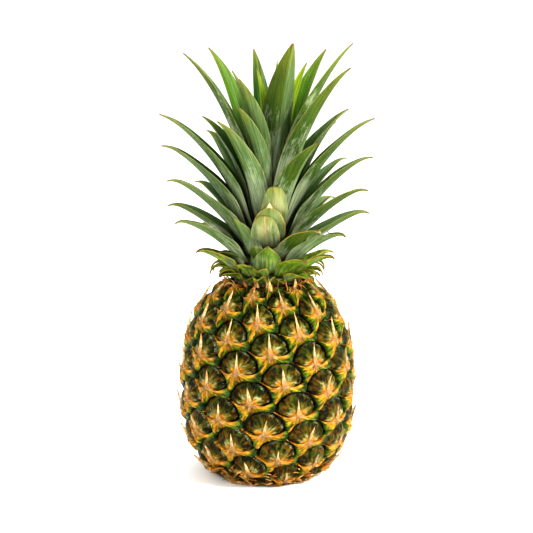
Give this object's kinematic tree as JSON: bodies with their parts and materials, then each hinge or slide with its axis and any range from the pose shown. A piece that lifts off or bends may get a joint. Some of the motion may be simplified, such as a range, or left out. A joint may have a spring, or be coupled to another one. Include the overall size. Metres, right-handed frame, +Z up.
{
  "type": "pineapple",
  "caption": "Whole ripe pineapple with its leafy crown, standing upright on the cut end of its fruit.",
  "frame": {"origin": "middle of the flat stalk scar under the fruit, on the surface it rests on", "axes": "+Z up along the fruit's axis towards the crown, -Y the front that the picture shows, +X to the right of the front"},
  "size_m": [0.1528, 0.1431, 0.3129],
  "materials": {
    "fruit_skin": "waxy rind of domed eyes, dark olive green to golden brown, with yellow-orange bracts and dry tan spikes",
    "crown_stem": "fleshy pale yellow-green stem with small curled leaves, dry orange-brown at the tips",
    "leaf": "leathery green blade with fine lengthwise lines and a pale waxy bloom on the underside",
    "young_leaf": "bright yellow-green young blade"
  },
  "bodies": {
    "root": {"fruit": "fruit_skin", "crown_stem": "crown_stem", "leaf_01": "leaf", "leaf_02": "leaf", "leaf_03": "leaf", "leaf_04": "leaf", "leaf_05": "leaf", "leaf_06": "leaf", "leaf_07": "leaf", "leaf_08": "leaf", "leaf_09": "leaf", "leaf_10": "leaf", "leaf_11": "leaf", "leaf_12": "leaf", "leaf_13": "leaf", "leaf_14": "leaf", "leaf_15": "leaf", "leaf_16": "leaf", "leaf_17": "leaf", "leaf_18": "leaf", "leaf_19": "leaf", "leaf_20": "leaf", "leaf_21": "leaf", "leaf_22": "leaf", "leaf_23": "leaf", "leaf_24": "leaf", "leaf_25": "leaf", "leaf_26": "leaf", "leaf_27": "leaf", "leaf_28": "leaf", "leaf_29": "leaf", "leaf_30": "leaf", "leaf_31": "leaf", "leaf_32": "leaf", "leaf_33": "leaf", "leaf_34": "leaf", "leaf_35": "leaf", "leaf_36": "leaf", "leaf_37": "leaf", "leaf_38": "leaf", "leaf_39": "leaf", "leaf_40": "leaf", "leaf_41": "leaf", "leaf_42": "leaf", "leaf_43": "leaf", "leaf_44": "leaf", "leaf_45": "leaf", "leaf_46": "leaf", "leaf_47": "leaf", "leaf_48": "leaf", "leaf_49": "leaf", "leaf_50": "leaf", "leaf_51": "leaf", "leaf_52": "leaf", "leaf_53": "young_leaf", "leaf_54": "young_leaf", "leaf_55": "young_leaf", "leaf_56": "young_leaf"}
  },
  "joints": []
}
